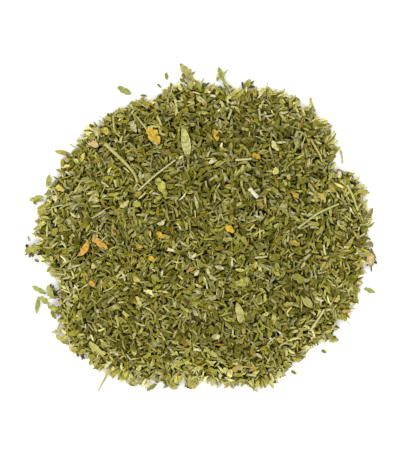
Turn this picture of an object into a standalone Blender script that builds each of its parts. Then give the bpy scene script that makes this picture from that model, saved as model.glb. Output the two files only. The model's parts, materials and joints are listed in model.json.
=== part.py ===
# A round, low heap of dried, cut parsley flakes, lying on a flat surface.
# Metres, +Z up. The origin is the middle of the heap's flat underside. +X and +Y are right and up
# in the view from straight above.

import math
import random

import bmesh
import bpy
from mathutils import Matrix, Vector, noise
from mathutils.bvhtree import BVHTree

SEED = 11
HEAP_NAME = "dried_parsley_heap"

# The heap's outer edge, seen from above: a mean radius and (waves round the edge, cosine, sine) terms
EDGE_RADIUS = 0.0452
EDGE_WAVES = ((2, 0.0019, 0.0009), (3, -0.0003, -0.0008), (6, 0.0004, -0.0006))
HEAP_HEIGHT = 0.0155
PROFILE_POWER = 2.4

# The mound that the flakes stand out of
MOUND_BELOW_SURFACE = 0.0018
MOUND_INSIDE_EDGE = 0.0034
MOUND_SIDES = 30
MOUND_RINGS = 12
MOUND_LUMP_HEIGHT = 0.0009
MOUND_LUMP_SIZE = 0.009

# The flakes fused to the mound, larger than life so that they cover it
FLAKE_THICKNESS = 0.00065
FLAKE_LENGTH = 0.0074
FLAKE_COUNT = 272
RIM_FLAKE_COUNT = 70
RIM_FLAKE_INSET = 0.0046
RIM_SPREAD = math.radians(65)
SPIRAL_REACH = 0.95
PLACE_JITTER = 0.0006
RIM_ANGLE_JITTER = 0.3
NEIGHBOUR_REACH = 0.011
FLAKE_SIZES = (0.95, 1.25)
FLAKE_PITCHES = (math.radians(10), math.radians(30))
FLAKE_ROLL = math.radians(24)
ROOT_DEPTH = 0.0011
ROOT_SETBACK = 0.0012
POSES_TRIED = 30
GOLDEN_ANGLE = math.pi * (3 - math.sqrt(5))

# Their forms: outline in shares of (length, half width), half width, then how far the middle is raised
# across the leaf and how far the edges stand above a rib along it
FLAKE_FORMS = (
    (((0, 0), (0.45, -1), (1, 0), (0.55, 1)), 0.0021, 0, 0.0009),
    (((0, 0), (0.35, -1), (0.92, 0), (0.6, 0.8)), 0.0023, 0, 0.0012),
    (((0, 0), (0.5, -1), (1.05, 0), (0.5, 1)), 0.0013, 0.0011, 0),
    (((0, -0.3), (0.68, -1), (0.82, 0.5), (0.08, 0.6)), 0.0019, 0, 0),
    (((0, 0), (0.3, -0.9), (0.78, -0.8), (0.98, 0), (0.6, 1), (0.25, 0.8)), 0.0019, 0, 0),
)

# Pieces with nodes of their own
PIECE_THICKNESS = 0.0006
STEM_SIDES_RESOLUTION = 1
CLEARANCE = 0.0004
PROBE_STEP = 0.0004
FLOOR_BLOCK = 0.2
FAR = 1.0
UP, DOWN = Vector((0, 0, 1)), Vector((0, 0, -1))

OLIVE = (0.23, 0.22, 0.045)
LIME = (0.34, 0.34, 0.06)
STRAW = (0.62, 0.58, 0.36)
SAGE = (0.40, 0.42, 0.17)
YELLOW = (0.62, 0.47, 0.08)
ORANGE = (0.66, 0.33, 0.05)
PEACH = (0.74, 0.43, 0.20)
BROWN = (0.42, 0.20, 0.06)

# Stem pieces: name, points along it from above, radius at its start and end, colour
STEMS = (
    ("thick_stem", ((-0.0273, 0.0259), (-0.0232, 0.0221), (-0.0188, 0.0176), (-0.0182, 0.0151)),
     0.0007, 0.0004, SAGE),
    ("stem_piece_01", ((-0.0179, 0.0129), (-0.0133, 0.0171), (-0.0076, 0.0214)), 0.0004, 0.0003, STRAW),
    ("stem_piece_02", ((-0.0252, 0.0339), (-0.0249, 0.0298), (-0.0232, 0.0280)), 0.0004, 0.0003, SAGE),
    ("stem_piece_03", ((-0.0310, 0.0052), (-0.0292, 0.0062), (-0.0274, 0.0074)), 0.0004, 0.0005, STRAW),
    ("stem_piece_04", ((-0.0185, 0.0336), (-0.0166, 0.0312), (-0.0150, 0.0290)), 0.0003, 0.0004, SAGE),
    ("stem_piece_05", ((0.0070, 0.0328), (0.0075, 0.0342), (0.0080, 0.0356)), 0.0004, 0.0005, STRAW),
    ("stem_piece_06", ((0.0127, 0.0134), (0.0139, 0.0122), (0.0151, 0.0109)), 0.0007, 0.0007, STRAW),
    ("stem_piece_07", ((0.0143, -0.0057), (0.0160, -0.0056), (0.0178, -0.0053)), 0.0005, 0.0004, STRAW),
    ("stem_piece_08", ((0.0300, -0.0262), (0.0320, -0.0232), (0.0339, -0.0202)), 0.0005, 0.0004, STRAW),
    ("stem_piece_09", ((0.0263, 0.0025), (0.0319, 0.0067), (0.0378, 0.0092)), 0.0004, 0.0004, SAGE),
    ("stem_piece_10", ((0.0300, 0.0274), (0.0328, 0.0228), (0.0333, 0.0210)), 0.0005, 0.0003, SAGE),
    ("stem_piece_11", ((0.0403, 0.0146), (0.0421, 0.0111), (0.0434, 0.0073)), 0.0005, 0.0004, SAGE),
    ("loose_stem", ((-0.0270, -0.0388), (-0.0281, -0.0409), (-0.0295, -0.0434)), 0.0004, 0.0003, STRAW),
)

# Leaf pieces: name, root and tip from above, widest width, curl, fold, sideways sweep, edge, colour.
# Curl is how far the middle stands above the ends, and fold how far the edges stand above the rib.
LEAVES = (
    ("orange_leaf", (-0.0150, 0.0303), (-0.0124, 0.0259), 0.0038, 0.0004, 0.0006, 0, "lobed", ORANGE),
    ("yellow_flake_01", (-0.0286, 0.0305), (-0.0260, 0.0288), 0.0022, 0.0005, 0.0003, 0, "oval", YELLOW),
    ("peach_flake_01", (-0.0322, 0.0270), (-0.0295, 0.0254), 0.0024, 0.0004, 0.0003, 0, "oval", PEACH),
    ("pale_flake", (-0.0203, 0.0324), (-0.0188, 0.0293), 0.0019, 0.0006, 0.0005, 0.0002, "oval", STRAW),
    ("yellow_flake_02", (-0.0129, 0.0163), (-0.0107, 0.0119), 0.0027, 0.0005, 0.0004, 0.0003, "oval", YELLOW),
    ("yellow_flake_03", (-0.0413, 0.0143), (-0.0391, 0.0130), 0.0018, 0.0003, 0.0003, 0, "oval", YELLOW),
    ("yellow_flake_04", (-0.0458, 0.0081), (-0.0433, 0.0067), 0.0020, 0.0004, 0.0003, 0, "oval", YELLOW),
    ("orange_flake_01", (0.0031, 0.0299), (0.0040, 0.0268), 0.0017, 0.0005, 0.0004, 0, "oval", ORANGE),
    ("orange_flake_02", (0.0136, 0.0229), (0.0159, 0.0219), 0.0018, 0.0004, 0.0004, 0, "oval", ORANGE),
    ("orange_flake_03", (0.0244, 0.0129), (0.0266, 0.0108), 0.0017, 0.0005, 0.0004, 0, "oval", ORANGE),
    ("orange_flake_04", (0.0062, 0.0030), (0.0085, 0.0015), 0.0019, 0.0004, 0.0004, 0, "oval", ORANGE),
    ("orange_flake_05", (-0.0127, 0.0013), (-0.0108, -0.0002), 0.0015, 0.0004, 0.0003, 0, "oval", ORANGE),
    ("brown_flake_01", (0.0149, 0.0103), (0.0166, 0.0078), 0.0016, 0.0005, 0.0004, 0, "oval", BROWN),
    ("brown_flake_02", (-0.0348, -0.0052), (-0.0317, -0.0005), 0.0019, 0.0009, 0.0004, -0.0009, "oval", ORANGE),
    ("brown_flake_03", (-0.0309, -0.0004), (-0.0267, -0.0032), 0.0021, 0.0006, 0.0004, 0.0003, "lobed", BROWN),
    ("yellow_curl", (-0.0316, -0.0292), (-0.0272, -0.0326), 0.0028, 0.0010, 0.0008, 0, "oval", YELLOW),
    ("peach_flake_02", (0.0458, -0.0040), (0.0472, -0.0079), 0.0028, 0.0006, 0.0004, 0, "oval", PEACH),
    ("stalked_leaf", (-0.0041, 0.0183), (-0.0057, 0.0309), 0.0031, 0.0006, 0.0005, -0.0004, "stalked", SAGE),
    ("green_leaf_01", (0.0275, -0.0165), (0.0305, -0.0197), 0.0024, 0.0005, 0.0004, 0, "oval", LIME),
    ("green_leaf_02", (0.0094, -0.0183), (0.0103, -0.0241), 0.0023, 0.0006, 0.0005, 0.0003, "oval", OLIVE),
    ("green_leaf_03", (0.0249, -0.0105), (0.0285, -0.0126), 0.0026, 0.0004, 0.0003, 0, "oval", LIME),
    ("green_leaf_04", (0.0250, 0.0281), (0.0259, 0.0245), 0.0018, 0.0006, 0.0005, 0.0006, "oval", SAGE),
    ("green_leaf_05", (-0.0098, -0.0398), (-0.0074, -0.0427), 0.0025, 0.0005, 0.0004, 0, "lobed", LIME),
    ("green_leaf_06", (-0.0041, -0.0398), (-0.0021, -0.0425), 0.0024, 0.0005, 0.0004, 0, "oval", LIME),
    ("green_leaf_07", (-0.0028, 0.0438), (-0.0064, 0.0487), 0.0023, 0.0005, 0.0004, 0, "oval", SAGE),
    ("green_leaf_08", (0.0117, 0.0415), (0.0133, 0.0443), 0.0018, 0.0004, 0.0003, 0, "oval", LIME),
    ("green_leaf_09", (0.0245, 0.0363), (0.0249, 0.0400), 0.0014, 0.0005, 0.0003, 0, "oval", LIME),
    ("green_leaf_10", (-0.0452, 0.0114), (-0.0487, 0.0103), 0.0016, 0.0004, 0.0003, 0, "oval", LIME),
    ("green_leaf_11", (-0.0458, -0.0028), (-0.0500, -0.0041), 0.0021, 0.0004, 0.0004, 0, "lobed", LIME),
    ("green_leaf_12", (-0.0330, -0.0325), (-0.0376, -0.0313), 0.0024, 0.0005, 0.0004, 0, "lobed", LIME),
    ("loose_flake_01", (-0.0239, 0.0421), (-0.0203, 0.0402), 0.0021, 0.0003, 0.0003, 0, "lobed", LIME),
    ("loose_flake_02", (-0.0104, 0.0461), (-0.0101, 0.0443), 0.0010, 0.0002, 0.0002, 0, "oval", OLIVE),
    ("loose_flake_03", (-0.0442, -0.0159), (-0.0480, -0.0139), 0.0015, 0.0003, 0.0003, 0, "oval", LIME),
    ("loose_flake_04", (-0.0434, -0.0136), (-0.0418, -0.0170), 0.0021, 0.0004, 0.0004, 0, "oval", LIME),
    ("loose_flake_05", (-0.0455, -0.0168), (-0.0432, -0.0189), 0.0019, 0.0003, 0.0003, 0, "lobed", LIME),
    ("loose_flake_06", (-0.0462, -0.0168), (-0.0468, -0.0215), 0.0014, 0.0003, 0.0002, 0, "oval", LIME),
    ("loose_flake_07", (-0.0405, -0.0203), (-0.0437, -0.0194), 0.0013, 0.0003, 0.0003, 0, "oval", LIME),
    ("loose_flake_08", (-0.0426, -0.0208), (-0.0414, -0.0230), 0.0011, 0.0003, 0.0002, 0, "oval", OLIVE),
    ("loose_flake_09", (-0.0413, -0.0277), (-0.0378, -0.0302), 0.0016, 0.0003, 0.0003, 0, "oval", LIME),
    ("loose_flake_10", (-0.0425, -0.0268), (-0.0388, -0.0262), 0.0011, 0.0003, 0.0002, 0, "oval", STRAW),
    ("loose_flake_11", (-0.0157, -0.0431), (-0.0131, -0.0415), 0.0012, 0.0003, 0.0002, 0, "oval", OLIVE),
    ("loose_flake_12", (0.0348, -0.0272), (0.0366, -0.0287), 0.0013, 0.0003, 0.0003, 0, "oval", OLIVE),
    ("loose_flake_13", (0.0455, -0.0145), (0.0483, -0.0156), 0.0014, 0.0003, 0.0003, 0, "oval", LIME),
)

# The forked sprig at the top edge: (points from above, radius at start and end) of its stalk and two arms
SPRIG_LIMBS = (
    (((0.0079, 0.0408), (0.0066, 0.0428), (0.0053, 0.0448)), 0.0004, 0.0004),
    (((0.0055, 0.0443), (0.0048, 0.0460), (0.0043, 0.0478)), 0.0005, 0.0008),
    (((0.0052, 0.0444), (0.0060, 0.0457), (0.0069, 0.0470)), 0.0004, 0.0003),
)


def edge_radius(angle):
    """The heap's outer edge in this direction."""
    waves = (c * math.cos(k * angle) + s * math.sin(k * angle) for k, c, s in EDGE_WAVES)
    return EDGE_RADIUS + sum(waves)


def surface_height(x, y):
    """The height of the heap's mean surface, 0 from its edge on."""
    share = math.hypot(x, y) / edge_radius(math.atan2(y, x))
    return HEAP_HEIGHT * max(0.0, 1 - share**PROFILE_POWER)


def surface_normal(x, y):
    """The upward normal of the mean surface."""
    step = 0.001
    slope_x = (surface_height(x + step, y) - surface_height(x - step, y)) / (2 * step)
    slope_y = (surface_height(x, y + step) - surface_height(x, y - step)) / (2 * step)
    return Vector((-slope_x, -slope_y, 1)).normalized()


def clear_scene():
    for obj in list(bpy.data.objects):
        bpy.data.objects.remove(obj, do_unlink=True)


def new_collection(name, hidden=False):
    collection = bpy.data.collections.new(name)
    bpy.context.scene.collection.children.link(collection)
    collection.hide_render = hidden
    return collection


def material(name, colour, roughness=0.85):
    made = bpy.data.materials.new(name)
    made.use_nodes = True
    shader = made.node_tree.nodes["Principled BSDF"]
    shader.inputs["Base Color"].default_value = (*colour, 1)
    shader.inputs["Roughness"].default_value = roughness
    shader.inputs["Metallic"].default_value = 0
    return made


def mesh_object(name, mesh, collection, colour=None):
    obj = bpy.data.objects.new(name, mesh)
    collection.objects.link(obj)
    if colour:
        mesh.materials.clear()
        mesh.materials.append(material(name, colour))
    return obj


def bake_modifiers(obj):
    """The object with its modifiers' result as its own mesh."""
    bpy.context.view_layer.update()
    graph = bpy.context.evaluated_depsgraph_get()
    made = bpy.data.meshes.new_from_object(obj.evaluated_get(graph))
    obj.modifiers.clear()
    obj.data = made


def thickened(name, mesh, collection, thickness, colour=None):
    """A leaf's open surface made a closed blade of this thickness."""
    obj = mesh_object(name, mesh, collection, colour)
    solidify = obj.modifiers.new("Thickness", "SOLIDIFY")
    solidify.thickness = thickness
    solidify.offset = 0
    triangulate = obj.modifiers.new("Triangles", "TRIANGULATE")
    triangulate.quad_method = "FIXED"
    bake_modifiers(obj)
    return obj


def leaf_outline(edge):
    """(place along the leaf, half width as a share of the widest) at each station from root to tip."""
    return {
        "oval": ((0, 0.25), (0.25, 0.85), (0.6, 1.0), (1, 0.12)),
        "lobed": ((0, 0.2), (0.2, 0.95), (0.36, 0.6), (0.56, 1.0), (0.74, 0.5), (1, 0.15)),
        "stalked": ((0, 0.22), (0.36, 0.2), (0.52, 0.8), (0.78, 1.0), (1, 0.2)),
    }[edge]


def leaf_surface(name, length, width, curl, fold, sweep, edge):
    """A leaf's open surface along +X from its root, with a rib in the middle."""
    bm = bmesh.new()
    rows = []
    for along, half in leaf_outline(edge):
        arch = 4 * along * (1 - along)
        half_width = half * width / 2
        lift = curl * arch
        side = sweep * arch
        row = [(-half_width, fold * half), (0, 0), (half_width, fold * half)]
        rows.append([bm.verts.new((along * length, side + y, lift + z)) for y, z in row])
    for before, after in zip(rows, rows[1:]):
        for k in range(2):
            bm.faces.new((before[k], after[k], after[k + 1], before[k + 1]))
    bmesh.ops.recalc_face_normals(bm, faces=bm.faces)
    mesh = bpy.data.meshes.new(name)
    bm.to_mesh(mesh)
    bm.free()
    return mesh


def flake_form(number, helpers):
    """The mesh of one of the fused flakes' forms, from its root at the origin along +X."""
    outline, half_width, middle_rise, edge_rise = FLAKE_FORMS[number]
    bm = bmesh.new()
    corners = [bm.verts.new((x * FLAKE_LENGTH, y * half_width, 0)) for x, y in outline]
    face = bm.faces.new(corners)
    if edge_rise:
        bmesh.utils.face_split(face, corners[0], corners[2])
    if middle_rise:
        bmesh.utils.face_split(face, corners[1], corners[3])
    if edge_rise or middle_rise:
        corners[1].co.z = corners[3].co.z = edge_rise + middle_rise
    mesh = bpy.data.meshes.new(f"flake_form_{number}")
    bm.to_mesh(mesh)
    bm.free()
    form = thickened(mesh.name, mesh, helpers, FLAKE_THICKNESS)
    made = form.data
    bpy.data.objects.remove(form)
    return made


def mound(collection):
    """The smaller mound inside the flakes: the upper half of a ball, shaped to the heap."""
    bm = bmesh.new()
    bmesh.ops.create_uvsphere(bm, u_segments=MOUND_SIDES, v_segments=MOUND_RINGS, radius=1)
    geometry = bm.verts[:] + bm.edges[:] + bm.faces[:]
    bmesh.ops.bisect_plane(
        bm, geom=geometry, dist=1e-5, plane_co=(0, 0, 0), plane_no=(0, 0, -1), clear_outer=True
    )
    bmesh.ops.contextual_create(bm, geom=[edge for edge in bm.edges if edge.is_boundary])
    for vert in bm.verts:
        share = min(1.0, math.hypot(vert.co.x, vert.co.y))
        angle = math.atan2(vert.co.y, vert.co.x)
        radius = share * (edge_radius(angle) - MOUND_INSIDE_EDGE)
        x, y = radius * math.cos(angle), radius * math.sin(angle)
        lump = noise.noise(Vector((x, y, 0)) / MOUND_LUMP_SIZE) * MOUND_LUMP_HEIGHT
        height = (HEAP_HEIGHT - MOUND_BELOW_SURFACE) * (1 - share**PROFILE_POWER) + lump * (1 - share)
        vert.co = (x, y, height if vert.co.z > 1e-4 else 0)
    bmesh.ops.triangulate(bm, faces=bm.faces)
    bmesh.ops.recalc_face_normals(bm, faces=bm.faces)
    mesh = bpy.data.meshes.new("green_flake_heap")
    bm.to_mesh(mesh)
    bm.free()
    return mesh_object("green_flake_heap", mesh, collection, OLIVE)


def flake_places(rng):
    """(x, y, middle heading, spread of headings) of each fused flake: an even spiral, then the edge."""
    for index in range(FLAKE_COUNT):
        share = math.sqrt((index + 0.5) / FLAKE_COUNT) * SPIRAL_REACH
        angle = index * GOLDEN_ANGLE
        radius = share * (edge_radius(angle) - MOUND_INSIDE_EDGE)
        radius += rng.uniform(-PLACE_JITTER, PLACE_JITTER)
        yield radius * math.cos(angle), radius * math.sin(angle), 0, math.pi
    for index in range(RIM_FLAKE_COUNT):
        angle = math.tau * (index + rng.uniform(-RIM_ANGLE_JITTER, RIM_ANGLE_JITTER)) / RIM_FLAKE_COUNT
        radius = edge_radius(angle) - RIM_FLAKE_INSET + rng.uniform(-2 * PLACE_JITTER, PLACE_JITTER)
        yield radius * math.cos(angle), radius * math.sin(angle), angle, RIM_SPREAD


def flake_pose(x, y, middle_heading, spread, mound_tree, rng):
    """A random pose that sinks a flake's root into the mound and raises its tip."""
    heading = middle_heading + rng.uniform(-spread, spread)
    normal = surface_normal(x, y)
    along = Vector((math.cos(heading), math.sin(heading), 0))
    along = (along - normal * along.dot(normal)).normalized()
    axes = Matrix((along, normal.cross(along), normal)).transposed()
    pitch = Matrix.Rotation(-rng.uniform(*FLAKE_PITCHES), 3, "Y")
    roll = Matrix.Rotation(rng.uniform(-FLAKE_ROLL, FLAKE_ROLL), 3, "X")
    on_mound = mound_tree.ray_cast(Vector((x, y, FAR)), DOWN)[0] or Vector((x, y, 0))
    root = on_mound - normal * ROOT_DEPTH - along * ROOT_SETBACK
    size = Matrix.Scale(rng.uniform(*FLAKE_SIZES), 4)
    return Matrix.Translation(root) @ (axes @ pitch @ roll).to_4x4() @ size


def laid_flakes(forms, mound_tree):
    """(mesh, matrix) of each fused flake, in the tried pose that crosses the flakes before it least."""
    rng = random.Random(SEED)
    laid = []
    for place in flake_places(rng):
        tried = []
        for _ in range(POSES_TRIED):
            form = rng.choice(forms)
            matrix = flake_pose(*place, mound_tree, rng)
            tree = tree_of(form, matrix)
            middle = matrix @ Vector((FLAKE_LENGTH / 2, 0, 0))
            near = (other for other in laid if (other[3] - middle).length < NEIGHBOUR_REACH)
            crossings = sum(len(tree.overlap(other[2])) for other in near)
            tried.append((crossings, (form, matrix, tree, middle)))
            if crossings == 0:
                break
        laid.append(min(tried, key=lambda pair: pair[0])[1])
    return [(form, matrix) for form, matrix, _, _ in laid]


def largest_shell_only(obj):
    """Fills what the joining sealed inside and drops loose scraps, by keeping the largest shell."""
    bm = bmesh.new()
    bm.from_mesh(obj.data)
    unseen = set(bm.verts)
    shells = []
    while unseen:
        reached = {unseen.pop()}
        front = set(reached)
        while front:
            front = {edge.other_vert(v) for v in front for edge in v.link_edges} - reached
            reached |= front
        unseen -= reached
        shells.append(reached)
    shells.sort(key=len)
    loose = [vert for shell in shells[:-1] for vert in shell]
    bmesh.ops.delete(bm, geom=loose, context="VERTS")
    bm.to_mesh(obj.data)
    bm.free()


def green_flake_heap(collection, helpers):
    """The mound and its covering flakes, joined as one solid and cut flat below."""
    forms = [flake_form(number, helpers) for number in range(len(FLAKE_FORMS))]
    heap = mound(collection)
    flakes = new_collection("fused_flakes", hidden=True)
    for form, matrix in laid_flakes(forms, tree_of(heap.data)):
        flake = bpy.data.objects.new("fused_flake", form)
        flake.matrix_world = matrix
        flakes.objects.link(flake)
    join = heap.modifiers.new("Join the flakes", "BOOLEAN")
    join.operation = "UNION"
    join.operand_type = "COLLECTION"
    join.collection = flakes
    bake_modifiers(heap)
    for flake in list(flakes.objects):
        bpy.data.objects.remove(flake)
    bpy.data.collections.remove(flakes)
    cut = heap.modifiers.new("Flat underside", "BOOLEAN")
    cut.operation = "DIFFERENCE"
    cut.object = cut_block(helpers)
    bake_modifiers(heap)
    largest_shell_only(heap)
    return heap


def cut_block(helpers):
    """A block whose top is the surface that the heap lies on."""
    bm = bmesh.new()
    bmesh.ops.create_cube(bm, size=FLOOR_BLOCK)
    mesh = bpy.data.meshes.new("below_the_surface")
    bm.to_mesh(mesh)
    bm.free()
    block = mesh_object("below_the_surface", mesh, helpers)
    block.location.z = -FLOOR_BLOCK / 2
    block.hide_render = True
    block.display_type = "WIRE"
    return block


def tree_of(mesh, matrix=Matrix()):
    verts = [matrix @ v.co for v in mesh.vertices]
    return BVHTree.FromPolygons(verts, [tuple(p.vertices) for p in mesh.polygons])


def probe_points(mesh):
    """Points all over a piece's faces, close enough to find what it would touch first."""
    points = [v.co.copy() for v in mesh.vertices]
    for polygon in mesh.polygons:
        corners = [mesh.vertices[i].co for i in polygon.vertices]
        for k in range(1, len(corners) - 1):
            a, b, c = corners[0], corners[k], corners[k + 1]
            steps = max(1, math.ceil(max((b - a).length, (c - a).length, (c - b).length) / PROBE_STEP))
            for i in range(steps + 1):
                for j in range(steps + 1 - i):
                    points.append(a + (b - a) * (i / steps) + (c - a) * (j / steps))
    return points


def lower_onto(piece, carriers):
    """Lowers a piece until it is a clearance above the solids before it, or lies on the surface."""
    drop = min(v.co.z for v in piece.data.vertices)
    own = tree_of(piece.data)
    points = probe_points(piece.data)
    for mesh in carriers:
        tree = tree_of(mesh)
        for point in points:
            hit = tree.ray_cast(Vector((point.x, point.y, FAR)), DOWN)[0]
            if hit:
                drop = min(drop, point.z - hit.z - CLEARANCE)
        for vert in mesh.vertices:
            hit = own.ray_cast(Vector((vert.co.x, vert.co.y, -FAR)), UP)[0]
            if hit:
                drop = min(drop, hit.z - vert.co.z - CLEARANCE)
    piece.data.transform(Matrix.Translation((0, 0, -drop)))


def stem_points(points):
    """A stem's points in space, on the heap's mean surface."""
    return [Vector((x, y, surface_height(x, y))) for x, y in points]


def tube(name, points, start, end, collection, colour=None):
    """A closed tapered tube through these points."""
    curve = bpy.data.curves.new(name, "CURVE")
    curve.dimensions = "3D"
    curve.bevel_depth = 1
    curve.bevel_resolution = STEM_SIDES_RESOLUTION
    curve.use_fill_caps = True
    spline = curve.splines.new("POLY")
    spline.points.add(len(points) - 1)
    for number, (point, place) in enumerate(zip(spline.points, points)):
        point.co = (*place, 1)
        point.radius = start + (end - start) * number / (len(points) - 1)
    guide = bpy.data.objects.new(name + "_guide", curve)
    collection.objects.link(guide)
    bpy.context.view_layer.update()
    graph = bpy.context.evaluated_depsgraph_get()
    mesh = bpy.data.meshes.new_from_object(guide.evaluated_get(graph))
    bpy.data.objects.remove(guide)
    bm = bmesh.new()
    bm.from_mesh(mesh)
    bmesh.ops.remove_doubles(bm, verts=bm.verts, dist=1e-6)
    bmesh.ops.recalc_face_normals(bm, faces=bm.faces)
    bm.to_mesh(mesh)
    bm.free()
    return mesh_object(name, mesh, collection, colour)


def leaf_piece(name, root, tip, width, curl, fold, sweep, edge, colour, collection):
    """A leaf piece that follows the slope of the heap between its root and its tip."""
    start = Vector((*root, surface_height(*root)))
    end = Vector((*tip, surface_height(*tip)))
    along = (end - start).normalized()
    normal = surface_normal(*((start + end) / 2).xy)
    side = normal.cross(along).normalized()
    axes = Matrix((along, side, along.cross(side))).transposed().to_4x4()
    surface = leaf_surface(name, (end - start).length, width, curl, fold, sweep, edge)
    piece = thickened(name, surface, collection, PIECE_THICKNESS, colour)
    piece.data.transform(Matrix.Translation(start) @ axes)
    return piece


def forked_sprig(collection, helpers):
    """A stalk with two short arms."""
    limbs = [tube(f"sprig_limb_{number}", stem_points(points), start, end, helpers)
             for number, (points, start, end) in enumerate(SPRIG_LIMBS)]
    sprig = mesh_object("forked_sprig", limbs[0].data, collection, SAGE)
    for limb in limbs[1:]:
        join = sprig.modifiers.new("Join " + limb.name, "BOOLEAN")
        join.operation = "UNION"
        join.object = limb
    bake_modifiers(sprig)
    for limb in limbs:
        bpy.data.objects.remove(limb)
    return sprig


def main():
    clear_scene()
    parts = new_collection(HEAP_NAME)
    helpers = new_collection("cutters", hidden=True)
    heap = green_flake_heap(parts, helpers)
    pieces = [tube(name, stem_points(points), start, end, parts, colour)
              for name, points, start, end, colour in STEMS]
    pieces += [leaf_piece(*leaf, parts) for leaf in LEAVES]
    pieces.append(forked_sprig(parts, helpers))
    carriers = [heap.data]
    for piece in pieces:
        lower_onto(piece, carriers)
        piece.data.shade_smooth()
        carriers.append(piece.data)


main()
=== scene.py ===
# The look of a round, low heap of dried, cut parsley flakes on a white surface, seen from straight above.
# Metres, +Z up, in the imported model's own frame. +X and +Y are right and up in that view.

import json
import math

import bpy
import numpy as np
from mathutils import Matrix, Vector


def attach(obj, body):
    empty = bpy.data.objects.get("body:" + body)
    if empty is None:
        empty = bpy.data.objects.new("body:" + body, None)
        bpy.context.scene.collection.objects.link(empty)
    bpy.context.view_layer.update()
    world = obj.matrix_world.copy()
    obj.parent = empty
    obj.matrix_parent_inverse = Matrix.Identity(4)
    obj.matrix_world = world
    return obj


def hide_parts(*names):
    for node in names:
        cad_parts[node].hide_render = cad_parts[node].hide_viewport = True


SEED = 23
MM = 0.001

# The heap's outer edge, seen from above: a mean radius and (waves round the edge, cosine, sine) terms
EDGE_RADIUS = 0.0452
EDGE_WAVES = (
    (2, 0.0019, 0.0009), (3, -0.0003, -0.0008), (4, -0.0004, -0.0002), (5, 0.0003, 0.0002),
    (6, 0.0004, -0.0006), (9, -0.0003, 0.0005),
)
# Dents and bulges of that edge: (direction in degrees, half width in degrees, depth in metres)
EDGE_DENTS = (
    (20, 6, 0.0012), (28, 4, -0.0036), (38, 7, 0.0006), (79, 8, -0.0020), (107, 9, -0.0014), (123, 8, 0.0006),
    (170, 9, -0.0014), (199, 9, -0.0042), (243, 6, 0.0008), (261, 8, -0.0016), (288, 14, 0.0006),
    (352, 8, -0.0010),
)
# How ragged it is besides: (waves round the edge, depth in metres)
EDGE_RAGS = ((31, 0.0003), (47, 0.0004), (68, 0.0003))
HEAP_HEIGHT = 0.0155
PROFILE_POWER = 2.4
SURFACE_RAISE = 0.0004
LUMP_HEIGHT = 0.0005
LUMP_SIZES = (0.006, 0.011)
CORE_DEPTH = 0.0030

# The grid of heights that the flakes are laid on
GRID_HALF = 0.06
GRID_CELL = 0.00025

# How the flakes are laid
FLAKE_LIMIT = 15000
BATCH = 200
CONTACT_SHARE = 0.88
SLOPE_LIMIT = math.radians(45)
TILT_SPREAD = math.radians(20)
OVERSHOOT = 0.0007
EDGE_INSET = 0.0005
FRINGE_FLAKES = 240
FRINGE_PLACES = (-0.0018, 0.0001)
FRINGE_SPREAD = math.radians(55)
TUFTS = 34
TUFT_FLAKES = 6
TUFT_WIDTH = math.radians(1.6)
TUFT_PLACES = (-0.0020, 0.0004)
TUFT_SPREAD = math.radians(28)
# Painted light: flakes within this width of the heap's edge get tints up to this much lighter, standing for light
# from the white surface round the heap
PAINTED_EDGE_LIGHT_WIDTH = 0.010
PAINTED_EDGE_LIGHT = 0.65
COVER_SPACING = 0.0022
COVER_SPREAD = 0.0004
COVERED_END = 0.0008
# Painted shade: a flake lying up to DEEP below the wanted surface gets a darker tint, down to DEEP_SHADE of it
DEEP = 0.0014
DEEP_SHADE = 0.15
PATCH_SIZES = (0.0028, 0.009)
PATCH_SPREAD = 0.10
CEILING_GAP = 0.0001
SUPPORT_SLOPE = 0.45
SUPPORT_REACH = 0.0045
SUPPORT_OUTSIDE = 0.003
SUPPORT_MARGIN = 0.0004
FLAKE_THICKNESS = 0.00013
SOLID_THICKNESS = 0.0006
LEAF_NARROWING = 0.86
STEM_THINNING = 0.68
RIPPLE = 0.00008
FLAKES_IN_A_PIECE = 1300

# Forms of flake: name, forms made, share of the flakes, then (least, most) length and width in mm, and
# fold, roll, curl and twist in degrees, then the edge, and stations along and columns across
FLAKE_KINDS = (
    ("sliver", 18, 0.33, (2.0, 3.7), (0.5, 1.0), (0, 30), (30, 110), (-35, 35), (-50, 50), "spindle", 6, 3),
    ("oval", 14, 0.16, (1.8, 3.2), (0.8, 1.4), (10, 45), (10, 60), (-40, 50), (-25, 25), "oval", 7, 5),
    ("lobed", 18, 0.11, (2.2, 3.8), (1.2, 2.1), (5, 40), (10, 50), (-30, 40), (-20, 20), "lobed", 11, 5),
    ("cut", 14, 0.20, (1.2, 2.4), (0.7, 1.4), (0, 35), (0, 70), (-40, 40), (-30, 30), "cut", 5, 3),
    ("crumb", 10, 0.18, (0.6, 1.3), (0.4, 0.9), (0, 30), (0, 40), (-30, 30), (0, 0), "cut", 3, 3),
)
STEM_BIT_SHARE = 0.02
STEM_BIT_FORMS = 6

# Leaf colours: upper side, underside, share of the flakes, slot
LEAF_TINTS = (
    ((0.175, 0.162, 0.014), (0.18, 0.168, 0.030), 0.36, "green_flakes"),
    ((0.085, 0.082, 0.006), (0.11, 0.106, 0.016), 0.16, "green_flakes"),
    ((0.190, 0.145, 0.018), (0.19, 0.155, 0.032), 0.06, "green_flakes"),
    ((0.290, 0.272, 0.040), (0.28, 0.262, 0.065), 0.24, "bright_leaves"),
    ((0.200, 0.192, 0.042), (0.29, 0.275, 0.110), 0.18, "pale_leaves"),
)
STEM_BIT_TINTS = {"straw_stems": (0.42, 0.40, 0.20), "green_stems": (0.33, 0.32, 0.10)}
PALE_FROM = 0.24
PALER = 0.24
TINT_SPREAD = 0.24
OWN_TINT_SPREAD = 0.07

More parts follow.
